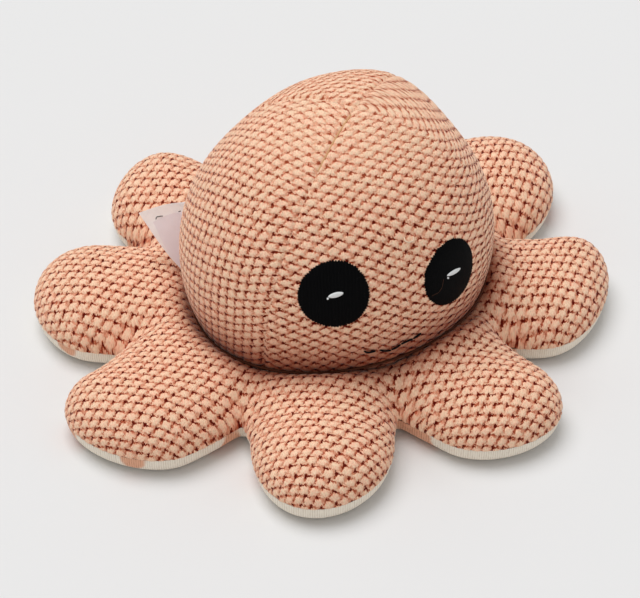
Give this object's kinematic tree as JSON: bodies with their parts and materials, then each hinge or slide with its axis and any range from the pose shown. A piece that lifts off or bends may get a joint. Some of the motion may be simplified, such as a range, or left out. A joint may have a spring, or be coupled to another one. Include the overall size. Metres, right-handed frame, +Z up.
{
  "type": "plush octopus",
  "caption": "Knitted plush octopus with a round head on a flat star of stuffed arms that bend, and an embroidered face",
  "frame": {"origin": "on the plane the toy rests on, under the middle of the star", "axes": "+Z up, face towards -Y, +X to the toy's left-hand side seen from behind it, which is the right of a viewer who looks at the face"},
  "size_m": [0.2629, 0.2432, 0.1202],
  "materials": {
    "head_knit": "matte",
    "star_knit": "matte",
    "jersey": "matte",
    "stuffing": "matte",
    "black_thread": "satin",
    "white_thread": "satin",
    "seam_thread": "matte",
    "label_ribbon": "satin"
  },
  "bodies": {
    "star": {"star_top_panel": "star_knit", "star_under_panel": "jersey", "star_filling": "stuffing", "neck_seam_thread": "seam_thread"},
    "head": {"head_front_gore": "head_knit", "head_right_gore": "head_knit", "head_back_gore": "head_knit", "head_left_gore": "head_knit", "head_filling": "stuffing", "left_eye": "black_thread", "left_eye_glint": "white_thread", "left_eye_speck": "white_thread", "right_eye": "black_thread", "right_eye_glint": "white_thread", "right_eye_speck": "white_thread", "mouth_stitch_1": "black_thread", "mouth_stitch_2": "black_thread", "mouth_stitch_3": "black_thread", "mouth_stitch_4": "black_thread", "mouth_stitch_5": "black_thread"},
    "arm_1": {"arm_1_top_panel": "star_knit", "arm_1_under_panel": "jersey", "arm_1_filling": "stuffing"},
    "arm_2": {"arm_2_top_panel": "star_knit", "arm_2_under_panel": "jersey", "arm_2_filling": "stuffing"},
    "arm_3": {"arm_3_top_panel": "star_knit", "arm_3_under_panel": "jersey", "arm_3_filling": "stuffing"},
    "arm_4": {"arm_4_top_panel": "star_knit", "arm_4_under_panel": "jersey", "arm_4_filling": "stuffing"},
    "arm_5": {"arm_5_top_panel": "star_knit", "arm_5_under_panel": "jersey", "arm_5_filling": "stuffing"},
    "arm_6": {"arm_6_top_panel": "star_knit", "arm_6_under_panel": "jersey", "arm_6_filling": "stuffing"},
    "arm_7": {"arm_7_top_panel": "star_knit", "arm_7_under_panel": "jersey", "arm_7_filling": "stuffing"},
    "arm_8": {"arm_8_top_panel": "star_knit", "arm_8_under_panel": "jersey", "arm_8_filling": "stuffing"},
    "care_label": {"care_label_outer_page": "label_ribbon", "care_label_inner_page": "label_ribbon"}
  },
  "joints": [
    {"name": "head_nod", "type": "hinge", "parent": "star", "child": "head", "pos_m": [0.0075, -0.0048, 0.054], "axis": [1, 0, 0], "range_deg": [-11, 3], "stiffness_Nm_per_rad": 0.3},
    {"name": "arm_1_bend", "type": "hinge", "parent": "star", "child": "arm_1", "pos_m": [0.08317, 0.03445, 0.015], "axis": [0.3827, -0.9239, 0], "range_deg": [-35, 45], "stiffness_Nm_per_rad": 0.03},
    {"name": "arm_2_bend", "type": "hinge", "parent": "star", "child": "arm_2", "pos_m": [0.03445, 0.08317, 0.015], "axis": [0.9239, -0.3827, 0], "range_deg": [-35, 45], "stiffness_Nm_per_rad": 0.03},
    {"name": "arm_3_bend", "type": "hinge", "parent": "star", "child": "arm_3", "pos_m": [-0.03445, 0.08317, 0.015], "axis": [0.9239, 0.3827, 0], "range_deg": [-35, 45], "stiffness_Nm_per_rad": 0.03},
    {"name": "arm_4_bend", "type": "hinge", "parent": "star", "child": "arm_4", "pos_m": [-0.08317, 0.03445, 0.015], "axis": [0.3827, 0.9239, 0], "range_deg": [-35, 45], "stiffness_Nm_per_rad": 0.03},
    {"name": "arm_5_bend", "type": "hinge", "parent": "star", "child": "arm_5", "pos_m": [-0.08317, -0.03445, 0.015], "axis": [-0.3827, 0.9239, 0], "range_deg": [-35, 45], "stiffness_Nm_per_rad": 0.03},
    {"name": "arm_6_bend", "type": "hinge", "parent": "star", "child": "arm_6", "pos_m": [-0.03445, -0.08317, 0.015], "axis": [-0.9239, 0.3827, 0], "range_deg": [-35, 45], "stiffness_Nm_per_rad": 0.03},
    {"name": "arm_7_bend", "type": "hinge", "parent": "star", "child": "arm_7", "pos_m": [0.03445, -0.08317, 0.015], "axis": [-0.9239, -0.3827, 0], "range_deg": [-35, 45], "stiffness_Nm_per_rad": 0.03},
    {"name": "arm_8_bend", "type": "hinge", "parent": "star", "child": "arm_8", "pos_m": [0.08317, -0.03445, 0.015], "axis": [-0.3827, -0.9239, 0], "range_deg": [-35, 45], "stiffness_Nm_per_rad": 0.03},
    {"name": "care_label_flap", "type": "hinge", "parent": "star", "child": "care_label", "pos_m": [-0.04771, 0.0297, 0.031], "axis": [0.5299, 0.848, 0], "range_deg": [-45, 15], "stiffness_Nm_per_rad": 0.0003}
  ]
}
